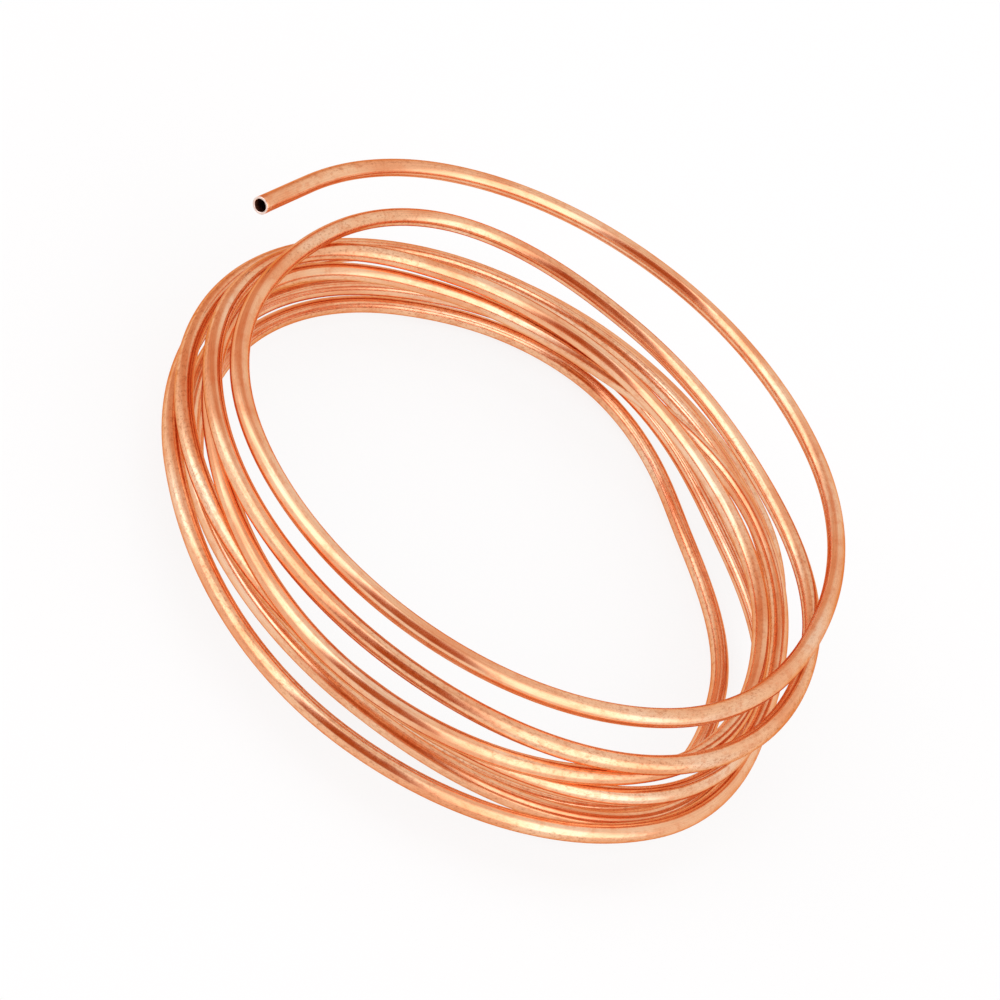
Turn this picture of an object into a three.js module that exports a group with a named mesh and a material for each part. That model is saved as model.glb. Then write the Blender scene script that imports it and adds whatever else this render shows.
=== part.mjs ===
// A loose coil of round copper tube lying flat, its winding axis up.
// Millimetres, +Z up, base at Z = 0, the middle of the coil's outline at X = Y = 0.
import * as THREE from 'three';

// The tube's section.
const TUBE_OUTER_DIAMETER = 4.0;
const TUBE_WALL = 0.5;
const TUBE_BORE_DIAMETER = TUBE_OUTER_DIAMETER - 2 * TUBE_WALL;

// From the winding axis to the tube's centre, where a turn doesn't stray.
const COIL_RADIUS = 73.0;

// The windings where the turns start and end, in turns from the coil's left side and
// clockwise seen from above.
const TURNS_START = 0.04;
const TURNS_END = 7.56;

// Each turn is above the next, with a little room between them, down to the winding
// where the tube reaches the ground.
const RISE_PER_TURN = 1.12 * TUBE_OUTER_DIAMETER;
const GROUNDED_WINDING = 7.3;

// How loosely the turns lie: how many tube diameters the tube strays out past the
// coil's radius, at eight sides of the coil. One row a turn from the top one down:
// left, far left, far, far right, right, near right, near, near left.
const SIDES_PER_TURN = 8;
const STRAY = [
  [1, 1.5, 1.25, 0.25, -0.75, 0.25, 0.5, 0],
  [-1.5, -1.5, -3.75, -3.75, -0.5, 2.25, 2, 1],
  [-0.75, -4.75, -6.5, -6.25, -3, 1.75, 3.5, 0.75],
  [-1.25, -5, -6, -3.25, -1.25, 2.5, 2.25, 1.5],
  [0.5, -0.75, -1.5, -1.75, -1, 3.75, 4.75, 2],
  [0.25, 0.25, 0.5, 0, -1, 2.5, 1.25, 0.25],
  [-0.75, -1.5, -0.75, -2.5, -0.25, 1, -0.25, -0.5],
  [-1.5, -1.75, -1.25, -4.25, -2.5, 0.5],
];

// The free end leaves the top turn on a straight run.
const FREE_END_LENGTH = 17.5;

// Facets.
const STEPS_PER_TURN = 36;
const OUTER_SIDES = 10;
const BORE_SIDES = 8;

const strays = STRAY.flat();

// The stray at a winding, on a smooth curve through the values at the sides.
function strayAt(winding) {
  const place = winding * SIDES_PER_TURN;
  const side = Math.floor(place);
  const t = place - side;
  const pick = (i) => strays[Math.max(0, Math.min(strays.length - 1, i))];
  const [a, b, c, d] = [pick(side - 1), pick(side), pick(side + 1), pick(side + 2)];
  const bend = 2 * a - 5 * b + 4 * c - d + t * (3 * (b - c) + d - a);
  return b + (t / 2) * (c - a + t * bend);
}

function placeOnTheCoil(winding) {
  const radius = COIL_RADIUS + TUBE_OUTER_DIAMETER * strayAt(winding);
  const height = RISE_PER_TURN * Math.max(0, GROUNDED_WINDING - winding);
  const angle = 2 * Math.PI * winding;
  return new THREE.Vector3(-radius * Math.cos(angle), radius * Math.sin(angle), height);
}

// A short step along the windings, to read the tube's direction where the turns start.
const SHORT_STEP = 0.001;
const startOfTurns = placeOnTheCoil(TURNS_START);
const startDirection = placeOnTheCoil(TURNS_START + SHORT_STEP).sub(startOfTurns).normalize();
const freeEndTip = startOfTurns.clone().addScaledVector(startDirection, -FREE_END_LENGTH);

// The windings that the straight run stands for, so that the tube's two stretches
// share one running parameter.
const FREE_END_WINDINGS = FREE_END_LENGTH / (2 * Math.PI * COIL_RADIUS);
const ALL_WINDINGS = FREE_END_WINDINGS + TURNS_END - TURNS_START;
const ARC_LENGTH_DIVISIONS = 4000;

// The tube's centre line, from the free end's tip to the other end.
class CentreLine extends THREE.Curve {
  constructor() {
    super();
    this.arcLengthDivisions = ARC_LENGTH_DIVISIONS;
  }

  getPoint(u, target = new THREE.Vector3()) {
    const run = u * ALL_WINDINGS - FREE_END_WINDINGS;
    if (run < 0) {
      return target.lerpVectors(freeEndTip, startOfTurns, 1 + run / FREE_END_WINDINGS);
    }
    return target.copy(placeOnTheCoil(TURNS_START + run));
  }
}

function ringOfPoints(diameter, sides) {
  return Array.from({ length: sides }, (_, i) => {
    const angle = (2 * Math.PI * i) / sides;
    return new THREE.Vector2(Math.cos(angle), Math.sin(angle)).multiplyScalar(diameter / 2);
  });
}

const section = new THREE.Shape(ringOfPoints(TUBE_OUTER_DIAMETER, OUTER_SIDES));
section.holes.push(new THREE.Path(ringOfPoints(TUBE_BORE_DIAMETER, BORE_SIDES)));

const tubeGeometry = new THREE.ExtrudeGeometry(section, {
  steps: Math.round(STEPS_PER_TURN * ALL_WINDINGS),
  extrudePath: new CentreLine(),
});

// Its lowest point rests on Z = 0, and the coil's outline is centred on X = Y = 0.
tubeGeometry.computeBoundingBox();
const extent = tubeGeometry.boundingBox;
tubeGeometry.translate(
  -(extent.min.x + extent.max.x) / 2,
  -(extent.min.y + extent.max.y) / 2,
  -extent.min.z,
);

const tube = new THREE.Mesh(
  tubeGeometry,
  new THREE.MeshStandardMaterial({ color: 0xd98a5b, roughness: 0.28, metalness: 1.0 }),
);
tube.name = 'copper_tube';

const coil = new THREE.Group();
coil.name = 'copper_tube_coil';
coil.add(tube);
export default coil;
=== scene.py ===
import math

import bpy
import numpy as np
from mathutils import Matrix, Vector


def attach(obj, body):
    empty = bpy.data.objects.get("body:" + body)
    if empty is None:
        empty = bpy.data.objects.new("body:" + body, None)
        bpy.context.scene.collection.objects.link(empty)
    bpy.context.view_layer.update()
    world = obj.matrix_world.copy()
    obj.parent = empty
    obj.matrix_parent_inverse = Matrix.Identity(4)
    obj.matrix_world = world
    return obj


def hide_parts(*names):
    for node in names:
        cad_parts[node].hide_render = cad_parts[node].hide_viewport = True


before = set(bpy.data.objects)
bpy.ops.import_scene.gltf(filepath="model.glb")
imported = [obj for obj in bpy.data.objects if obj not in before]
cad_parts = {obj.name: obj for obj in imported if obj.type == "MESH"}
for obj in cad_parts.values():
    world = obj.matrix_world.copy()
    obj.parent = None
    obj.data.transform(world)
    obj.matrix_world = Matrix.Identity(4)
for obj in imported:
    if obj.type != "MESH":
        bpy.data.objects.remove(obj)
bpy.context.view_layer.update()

MM = 0.001

# ---------------------------------------------------------------- sizes, in millimetres

TUBE_OUTER_DIAMETER = 4.0
TUBE_WALL = 0.5
TUBE_BORE_DIAMETER = TUBE_OUTER_DIAMETER - 2 * TUBE_WALL
# From the winding axis to the tube's centre, where a turn doesn't stray.
COIL_RADIUS = 73.0

# The windings where the turns start and end, in turns from the coil's left side and
# clockwise seen from above.
TURNS_START = 0.04
TURNS_END = 7.56

# Each turn is above the next, down to the winding where the tube reaches the ground.
RISE_PER_TURN = 1.12 * TUBE_OUTER_DIAMETER
GROUNDED_WINDING = 7.3

# How loosely the turns lie: how many tube diameters the tube strays out past the
# coil's radius, at eight sides of the coil. One row a turn from the top one down:
# left, far left, far, far right, right, near right, near, near left.
SIDES_PER_TURN = 8
STRAY = [
    [1, 1.5, 1.25, 0.25, -0.75, 0.25, 0.5, 0],
    [-1.5, -1.5, -3.75, -3.75, -0.5, 2.25, 2, 1],
    [-0.75, -4.75, -6.5, -6.25, -3, 1.75, 3.5, 0.75],
    [-1.25, -5, -6, -3.25, -1.25, 2.5, 2.25, 1.5],
    [0.5, -0.75, -1.5, -1.75, -1, 3.75, 4.75, 2],
    [0.25, 0.25, 0.5, 0, -1, 2.5, 1.25, 0.25],
    [-0.75, -1.5, -0.75, -2.5, -0.25, 1, -0.25, -0.5],
    [-1.5, -1.75, -1.25, -4.25, -2.5, 0.5],
]
FREE_END_LENGTH = 17.5

# The visible tube's facets. Its steps are about 2.4 mm long.
STEPS_PER_TURN = 190
OUTER_SIDES = 28
BORE_SIDES = 20
# The line is measured on this many points to a step, before it is divided evenly.
POINTS_PER_STEP = 8
# The saw's burr is broken off both rims of a cut end by this much.
RIM_CHAMFER = 0.08
# A short step along the windings, to read the tube's direction where the turns start.
SHORT_STEP = 0.001

strays = [stray for turn in STRAY for stray in turn]


# ---------------------------------------------------------------- the centre line

def stray_at(winding):
    """The stray at a winding, on a smooth curve through the values at the sides."""
    place = winding * SIDES_PER_TURN
    side = math.floor(place)
    t = place - side
    a, b, c, d = (strays[min(max(i, 0), len(strays) - 1)] for i in range(side - 1, side + 3))
    bend = 2 * a - 5 * b + 4 * c - d + t * (3 * (b - c) + d - a)
    return b + t / 2 * (c - a + t * bend)


def place_on_the_coil(winding):
    radius = COIL_RADIUS + TUBE_OUTER_DIAMETER * stray_at(winding)
    height = RISE_PER_TURN * max(0.0, GROUNDED_WINDING - winding)
    angle = 2 * math.pi * winding
    return np.array([-radius * math.cos(angle), radius * math.sin(angle), height])


def centre_line():
    """Evenly spaced points from the free end's tip to the other end, and their run."""
    start = place_on_the_coil(TURNS_START)
    direction = place_on_the_coil(TURNS_START + SHORT_STEP) - start
    tip = start - direction / np.linalg.norm(direction) * FREE_END_LENGTH
    windings = np.arange(TURNS_START, TURNS_END, 1 / (POINTS_PER_STEP * STEPS_PER_TURN))
    windings = np.append(windings, TURNS_END)
    dense = np.array([tip] + [place_on_the_coil(w) for w in windings])
    run = np.concatenate([[0], np.cumsum(np.linalg.norm(np.diff(dense, axis=0), axis=1))])
    count = round(STEPS_PER_TURN * (TURNS_END - TURNS_START)) + 1
    # The first and last steps are split off for the rims' chamfers.
    even = np.linspace(0, run[-1], count)
    even = np.concatenate([[0, RIM_CHAMFER], even[1:-1], [run[-1] - RIM_CHAMFER, run[-1]]])
    points = np.array([np.interp(even, run, dense[:, k]) for k in range(3)]).T
    return points, even


def carried_frames(points):
    """Two directions square to the line at each point, carried along it without twist."""
    along = np.gradient(points, axis=0)
    along[0] = points[2] - points[0]
    along[-1] = points[-1] - points[-3]
    along /= np.linalg.norm(along, axis=1)[:, None]
    side = np.zeros_like(points)
    first = np.cross([0.0, 0.0, 1.0], along[0])
    side[0] = first / np.linalg.norm(first)
    for i in range(1, len(points)):
        s = side[i - 1] - along[i] * np.dot(side[i - 1], along[i])
        side[i] = s / np.linalg.norm(s)
    return side, np.cross(along, side)


# ---------------------------------------------------------------- the tube

# The tube's materials: the drawn outside, the cut ends with their rims, and the bore.
OUTSIDE, CUT, BORE = range(3)


def swept_ring(points, frames, radius, sides):
    """A ring of points round each point of the line, and the unit ring they follow."""
    angles = 2 * math.pi * np.arange(sides) / sides
    unit = np.column_stack([np.cos(angles), np.sin(angles)])
    side, top = frames
    ring = side[:, None] * unit[None, :, :1] + top[:, None] * unit[None, :, 1:]
    return points[:, None] + radius[:, None, None] * ring, unit


def build_tube():
    """The whole tube as one closed mesh, and how far it was moved to stand centred."""
    points, run = centre_line()
    frames = carried_frames(points)
    outer_radius = np.full(len(points), TUBE_OUTER_DIAMETER / 2)
    outer_radius[[0, -1]] -= RIM_CHAMFER
    bore_radius = np.full(len(points), TUBE_BORE_DIAMETER / 2)
    bore_radius[[0, -1]] += RIM_CHAMFER
    outer, outer_round = swept_ring(points, frames, outer_radius, OUTER_SIDES)
    bore, bore_round = swept_ring(points, frames, bore_radius, BORE_SIDES)
    vertices = np.concatenate([outer.reshape(-1, 3), bore.reshape(-1, 3)])
    lay = np.concatenate([
        np.column_stack([np.tile(ring, (len(points), 1)) * diameter / 2, np.repeat(run, sides)])
        for ring, sides, diameter in (
            (outer_round, OUTER_SIDES, TUBE_OUTER_DIAMETER),
            (bore_round, BORE_SIDES, TUBE_BORE_DIAMETER),
        )
    ])
    rings = len(points)
    bore_start = rings * OUTER_SIDES
    faces = []
    slots = []
    for i in range(rings - 1):
        chamfer = i in (0, rings - 2)
        for j in range(OUTER_SIDES):
            k = (j + 1) % OUTER_SIDES
            a, b = i * OUTER_SIDES, (i + 1) * OUTER_SIDES
            faces.append((a + j, a + k, b + k, b + j))
            slots.append(CUT if chamfer else OUTSIDE)
        for j in range(BORE_SIDES):
            k = (j + 1) % BORE_SIDES
            a, b = bore_start + i * BORE_SIDES, bore_start + (i + 1) * BORE_SIDES
            faces.append((a + j, b + j, b + k, a + k))
            slots.append(CUT if chamfer else BORE)
    # The cut faces, each a ring of triangles that walks round both rims at once.
    for end in (0, rings - 1):
        a, b = end * OUTER_SIDES, bore_start + end * BORE_SIDES
        j = k = 0
        while j < OUTER_SIDES or k < BORE_SIDES:
            outer_is_behind = (j + 1) / OUTER_SIDES <= (k + 1) / BORE_SIDES
            if k == BORE_SIDES or (j < OUTER_SIDES and outer_is_behind):
                face = (a + j % OUTER_SIDES, b + k % BORE_SIDES, a + (j + 1) % OUTER_SIDES)
                j += 1
            else:
                face = (a + j % OUTER_SIDES, b + k % BORE_SIDES, b + (k + 1) % BORE_SIDES)
                k += 1
            faces.append(face if end == 0 else face[::-1])
            slots.append(CUT)
    mesh = bpy.data.meshes.new("copper_tube_fine")
    # Its lowest point rests on Z = 0, and the coil's outline is centred on X = Y = 0.
    middle = (vertices.min(axis=0) + vertices.max(axis=0)) / 2
    shift = np.array([-middle[0], -middle[1], -vertices[:, 2].min()])
    vertices += shift
    mesh.from_pydata((vertices * MM).tolist(), [], faces)
    mesh.polygons.foreach_set("material_index", slots)
    mesh.polygons.foreach_set("use_smooth", [slot != CUT for slot in slots])
    attribute = mesh.attributes.new("lay", "FLOAT_VECTOR", "POINT")
    attribute.data.foreach_set("vector", lay.ravel())
    mesh.update()
    tube = bpy.data.objects.new("copper_tube_fine", mesh)
    bpy.context.scene.collection.objects.link(tube)
    return tube, shift


# ---------------------------------------------------------------- materials

# Where a Mix node keeps its colour sockets.
MIX_FACTOR, MIX_FIRST, MIX_SECOND, MIX_RESULT = 0, 6, 7, 2


class Nodes:
    """Small helpers to write a node tree as a list of steps."""

    def __init__(self, name):
        self.material = bpy.data.materials.new(name)
        self.material.use_nodes = True
        self.tree = self.material.node_tree
        self.shader = self.tree.nodes["Principled BSDF"]

    def add(self, kind, **settings):
        node = self.tree.nodes.new(kind)
        for key, value in settings.items():
            setattr(node, key, value)
        return node

    def link(self, output, node_input):
        self.tree.links.new(output, node_input)

    def lay(self, scale):
        """The place on the tube's surface in millimetres: round it in X and Y, along it in Z."""
        source = self.add("ShaderNodeAttribute", attribute_type="GEOMETRY", attribute_name="lay")
        scaled = self.add("ShaderNodeVectorMath", operation="MULTIPLY")
        scaled.inputs[1].default_value = scale
        self.link(source.outputs["Vector"], scaled.inputs[0])
        return scaled.outputs[0]

    def noise(self, scale, detail, roughness=0.5):
        noise = self.add("ShaderNodeTexNoise", noise_dimensions="3D")
        noise.inputs["Scale"].default_value = 1.0
        noise.inputs["Detail"].default_value = detail
        noise.inputs["Roughness"].default_value = roughness
        self.link(self.lay(scale), noise.inputs["Vector"])
        return noise.outputs["Fac"]

    def ramp(self, value, stops):
        ramp = self.add("ShaderNodeValToRGB")
        elements = ramp.color_ramp.elements
        while len(elements) < len(stops):
            elements.new(0.5)
        for element, (position, colour) in zip(elements, stops):
            element.position = position
            element.color = (*colour, 1.0)
        self.link(value, ramp.inputs["Fac"])
        return ramp.outputs["Color"]

    def grey_ramp(self, value, stops):
        return self.ramp(value, [(p, (v, v, v)) for p, v in stops])

    def mix(self, factor, first, second, blend="MIX"):
        mix = self.add("ShaderNodeMix", data_type="RGBA", blend_type=blend)
        sockets = (mix.inputs[MIX_FACTOR], mix.inputs[MIX_FIRST], mix.inputs[MIX_SECOND])
        for value, socket in zip((factor, first, second), sockets):
            if isinstance(value, (float, int)):
                socket.default_value = value
            elif isinstance(value, tuple):
                socket.default_value = (*value, 1.0)
            else:
                self.link(value, socket)
        return mix.outputs[MIX_RESULT]


COPPER = (0.96, 0.54, 0.315)
COPPER_DEEP = (0.89, 0.38, 0.19)
COPPER_PALE = (0.97, 0.63, 0.425)
STAIN = (0.80, 0.29, 0.13)
# The tint of its shine at a glancing angle.
COPPER_EDGE = (0.85, 0.42, 0.24, 1.0)
TARNISH = (0.52, 0.18, 0.075)
CUT_DULL = (0.78, 0.56, 0.47)
CUT_BRIGHT = (0.95, 0.82, 0.75)
CUT_ROUGHNESS = 0.38
BORE_DARK = (0.10, 0.035, 0.02)
BORE_LIGHTER = (0.22, 0.08, 0.045)
BORE_ROUGHNESS = 0.5
# How fast each marking varies over a millimetre: across the tube in two directions,
# and along it.
PATCHES = (0.12, 0.12, 0.035)
DRAWN_LINES = (5.0, 5.0, 0.02)
STAINS = (0.5, 0.5, 0.28)
SPECKS = (1.7, 1.7, 1.0)
SPECKLED_STRETCHES = (0.3, 0.3, 0.012)
GLOSS = (0.9, 0.9, 0.15)
SAW_SCRATCHES = (14.0, 2.0, 2.0)
BORE_STAIN = (0.8, 0.8, 0.1)
# How dark a line gets, as a share of the copper's tone, and how strongly stains show.
LINE_SHADE = 0.9
STAIN_STRENGTH = 0.45
# How strongly specks show where the tube is cleanest and where it is most tarnished.
FEWEST_SPECKS = 0.12
MOST_SPECKS = 0.7
# The roughness of the glossiest and of the dullest places.
GLOSSIEST = 0.13
DULLEST = 0.24
# How strongly the lines' relief shows, and how deep they are.
LINE_RELIEF = 0.06
LINE_DEPTH = 0.05 * MM


def copper_material():
    m = Nodes("copper_drawn")
    # Slow changes of tone along the tube, from handling and its first tarnish.
    patches = m.noise(PATCHES, detail=3.0)
    tone = m.ramp(patches, [(0.36, COPPER_DEEP), (0.52, COPPER), (0.68, COPPER_PALE)])
    # The drawing die's fine lines run along the tube.
    drawn = m.noise(DRAWN_LINES, detail=4.0, roughness=0.6)
    lines = m.grey_ramp(drawn, [(0.35, LINE_SHADE), (0.6, 1.0)])
    tone = m.mix(1.0, tone, lines, blend="MULTIPLY")
    # Soft stains a few millimetres long, where it was handled.
    stains = m.noise(STAINS, detail=4.0, roughness=0.7)
    stain_mask = m.grey_ramp(stains, [(0.5, 0.0), (0.62, STAIN_STRENGTH)])
    tone = m.mix(stain_mask, tone, STAIN)
    # Small brown tarnish specks, thicker in some stretches than in others.
    specks = m.noise(SPECKS, detail=5.0, roughness=0.75)
    where = m.noise(SPECKLED_STRETCHES, detail=1.0)
    speck_mask = m.grey_ramp(specks, [(0.50, 0.0), (0.66, 1.0)])
    where_mask = m.grey_ramp(where, [(0.42, FEWEST_SPECKS), (0.58, MOST_SPECKS)])
    mask = m.mix(1.0, speck_mask, where_mask, blend="MULTIPLY")
    colour = m.mix(mask, tone, TARNISH)
    m.link(colour, m.shader.inputs["Base Color"])
    gloss = m.noise(GLOSS, detail=3.0)
    rough = m.grey_ramp(gloss, [(0.3, GLOSSIEST), (0.7, DULLEST)])
    m.link(rough, m.shader.inputs["Roughness"])
    m.shader.inputs["Metallic"].default_value = 1.0
    m.shader.inputs["Specular Tint"].default_value = COPPER_EDGE
    bump = m.add("ShaderNodeBump")
    bump.inputs["Strength"].default_value = LINE_RELIEF
    bump.inputs["Distance"].default_value = LINE_DEPTH
    m.link(drawn, bump.inputs["Height"])
    m.link(bump.outputs["Normal"], m.shader.inputs["Normal"])
    return m.material


def cut_material():
    """The sawn faces of the ends: bright, with the saw's fine scratches."""
    m = Nodes("copper_cut")
    scratches = m.noise(SAW_SCRATCHES, detail=4.0)
    colour = m.ramp(scratches, [(0.3, CUT_DULL), (0.7, CUT_BRIGHT)])
    m.link(colour, m.shader.inputs["Base Color"])
    m.shader.inputs["Metallic"].default_value = 1.0
    m.shader.inputs["Roughness"].default_value = CUT_ROUGHNESS
    return m.material


def bore_material():
    """Inside the bore, duller and darker than the outside."""
    m = Nodes("copper_bore")
    stain = m.noise(BORE_STAIN, detail=3.0)
    colour = m.ramp(stain, [(0.35, BORE_DARK), (0.65, BORE_LIGHTER)])
    m.link(colour, m.shader.inputs["Base Color"])
    m.shader.inputs["Metallic"].default_value = 1.0
    m.shader.inputs["Roughness"].default_value = BORE_ROUGHNESS
    return m.material


tube, coil_shift = build_tube()
for material in (copper_material(), cut_material(), bore_material()):
    tube.data.materials.append(material)
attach(tube, "root")
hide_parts("copper_tube")

# ---------------------------------------------------------------- floor and surroundings

WHITE = (1.0, 1.0, 1.0, 1.0)
# Half the floor's width, in metres.
FLOOR_HALF = 3.0
FLOOR_COLOUR = (0.9, 0.9, 0.9, 1.0)
FLOOR_ROUGHNESS = 0.9
# How much of the floor's look is plain white; the rest is lit, and holds the shadow.
FLOOR_WHITE = 0.85


def white_where_seen(tree, lit_shader):
    """Mixes white into the lit shader, for the camera and for what mirrors or passes light."""
    emission = tree.nodes.new("ShaderNodeEmission")
    emission.inputs["Color"].default_value = WHITE
    emission.inputs["Strength"].default_value = 1.0
    path = tree.nodes.new("ShaderNodeLightPath")
    seen = path.outputs["Is Camera Ray"]
    for ray in ("Is Glossy Ray", "Is Transmission Ray"):
        either = tree.nodes.new("ShaderNodeMath")
        either.operation = "MAXIMUM"
        tree.links.new(seen, either.inputs[0])
        tree.links.new(path.outputs[ray], either.inputs[1])
        seen = either.outputs[0]
    share = tree.nodes.new("ShaderNodeMapRange")
    share.inputs["To Max"].default_value = FLOOR_WHITE
    tree.links.new(seen, share.inputs["Value"])
    mix = tree.nodes.new("ShaderNodeMixShader")
    tree.links.new(share.outputs[0], mix.inputs["Fac"])
    tree.links.new(lit_shader, mix.inputs[1])
    tree.links.new(emission.outputs[0], mix.inputs[2])
    return mix.outputs[0]


def build_floor():
    mesh = bpy.data.meshes.new("floor")
    corners = [(-1, -1), (1, -1), (1, 1), (-1, 1)]
    vertices = [(x * FLOOR_HALF, y * FLOOR_HALF, 0.0) for x, y in corners]
    mesh.from_pydata(vertices, [], [(0, 1, 2, 3)])
    floor = bpy.data.objects.new("floor", mesh)
    bpy.context.scene.collection.objects.link(floor)
    material = bpy.data.materials.new("floor_white")
    material.use_nodes = True
    tree = material.node_tree
    shader = tree.nodes["Principled BSDF"]
    shader.inputs["Base Color"].default_value = FLOOR_COLOUR
    shader.inputs["Roughness"].default_value = FLOOR_ROUGHNESS
    shader.inputs["Specular IOR Level"].default_value = 0.0
    out = tree.nodes["Material Output"]
    tree.links.new(white_where_seen(tree, shader.outputs[0]), out.inputs["Surface"])
    mesh.materials.append(material)


build_floor()

# ---------------------------------------------------------------- light

# The coil lies in a white tent with two softboxes at its left, one at its right and a
# dim, warm room behind the camera. Azimuths run clockwise from +Y and elevations up from
# the level, in degrees. Each panel is its middle, its half width and half height, how
# softly it ends, and its light.
TENT = (0.95, 0.95, 0.95)
SOFTBOX = (2.05, 2.1, 2.25)
SIDE_SOFTBOX = (1.9, 1.95, 2.05)
WARM_ROOM = (0.46, 0.12, 0.03)
PANELS = [
    # azimuth, elevation, half width, half height, softness, light
    (0, 90, 180, 13, 9, (0.8, 0.68, 0.6)),
    (-46, 20, 26, 36, 12, (0.75, 0.47, 0.34)),
    (-5, 50, 22, 18, 12, (0.88, 0.85, 0.84)),
    (-132, 45, 24, 34, 9, SOFTBOX),
    (-96, 20, 7, 36, 6, SOFTBOX),
    (122, 32, 32, 32, 12, SIDE_SOFTBOX),
    (-179, 36, 24, 34, 9, WARM_ROOM),
]


class Light:
    """The world's node tree, with one helper a step."""

    def __init__(self, world):
        world.use_nodes = True
        self.tree = world.node_tree

    def math(self, operation, first, second=0.0):
        node = self.tree.nodes.new("ShaderNodeMath")
        node.operation = operation
        for value, socket in ((first, node.inputs[0]), (second, node.inputs[1])):
            if isinstance(value, (float, int)):
                socket.default_value = value
            else:
                self.tree.links.new(value, socket)
        return node.outputs[0]

    def falling(self, value, edge, softness):
        """1 well under the edge and 0 well past it."""
        node = self.tree.nodes.new("ShaderNodeMapRange")
        node.interpolation_type = "SMOOTHSTEP"
        node.inputs["From Min"].default_value = edge - softness
        node.inputs["From Max"].default_value = edge + softness
        node.inputs["To Min"].default_value = 1.0
        node.inputs["To Max"].default_value = 0.0
        self.tree.links.new(value, node.inputs["Value"])
        return node.outputs["Result"]

    def panel(self, under, azimuth, elevation, place, size, softness, light):
        turned = self.math("COSINE", self.math("SUBTRACT", azimuth, place[0]))
        across = self.math("ARCCOSINE", turned)
        along = self.math("ABSOLUTE", self.math("SUBTRACT", elevation, place[1]))
        mask = self.math(
            "MULTIPLY",
            self.falling(across, size[0], softness),
            self.falling(along, size[1], softness),
        )
        mix = self.tree.nodes.new("ShaderNodeMix")
        mix.data_type = "RGBA"
        self.tree.links.new(mask, mix.inputs[MIX_FACTOR])
        if under is None:
            mix.inputs[MIX_FIRST].default_value = (*TENT, 1.0)
        else:
            self.tree.links.new(under, mix.inputs[MIX_FIRST])
        mix.inputs[MIX_SECOND].default_value = (*light, 1.0)
        return mix.outputs[MIX_RESULT]

    def build(self):
        nodes, links = self.tree.nodes, self.tree.links
        coordinates = nodes.new("ShaderNodeTexCoord")
        split = nodes.new("ShaderNodeSeparateXYZ")
        links.new(coordinates.outputs["Generated"], split.inputs[0])
        azimuth = self.math("ARCTAN2", split.outputs["X"], split.outputs["Y"])
        elevation = self.math("ARCSINE", split.outputs["Z"])
        light = None
        for *angles, colour in PANELS:
            middle, middle_height, half_width, half_height, softness = map(math.radians, angles)
            place = (middle, middle_height)
            size = (half_width, half_height)
            light = self.panel(light, azimuth, elevation, place, size, softness, colour)
        tent = nodes["Background"]
        links.new(light, tent.inputs["Color"])
        tent.inputs["Strength"].default_value = 1.0


studio = bpy.data.worlds.new("studio")
bpy.context.scene.world = studio
Light(studio).build()

# ---------------------------------------------------------------- camera

# The view looks down from the near side, rolled so that the coil's far left is high in
# the frame. Its aim is this far right, up in the frame and above the ground, in
# millimetres, from the middle that the turns were wound about.
ELEVATION = math.radians(37.6)
ROLL = math.radians(35.9)
DISTANCE = 550.0
AIM_RIGHT = 0.7
AIM_UP = 17.6
AIM_HEIGHT = 30.3
FOCAL_LENGTH = 93.0
SENSOR = 36.0
NEAREST_SEEN = 10.0

right = Vector((1, 0, 0))
up = Vector((0, math.sin(ELEVATION), math.cos(ELEVATION)))
forward = Vector((0, math.cos(ELEVATION), -math.sin(ELEVATION)))
wound_about = Vector(coil_shift) + Vector((0, 0, AIM_HEIGHT))
eye = (wound_about - AIM_RIGHT * right - AIM_UP * up - DISTANCE * forward) * MM
camera_right = math.cos(ROLL) * right + math.sin(ROLL) * up
camera_up = -math.sin(ROLL) * right + math.cos(ROLL) * up
camera_data = bpy.data.cameras.new("view")
camera_data.sensor_width = SENSOR
camera_data.lens = FOCAL_LENGTH
camera_data.clip_start = NEAREST_SEEN * MM
camera = bpy.data.objects.new("view", camera_data)
axes = Matrix((camera_right, camera_up, -forward)).transposed()
camera.matrix_world = Matrix.Translation(eye) @ axes.to_4x4()
bpy.context.scene.collection.objects.link(camera)
bpy.context.scene.camera = camera
bpy.context.scene.view_settings.view_transform = "Standard"
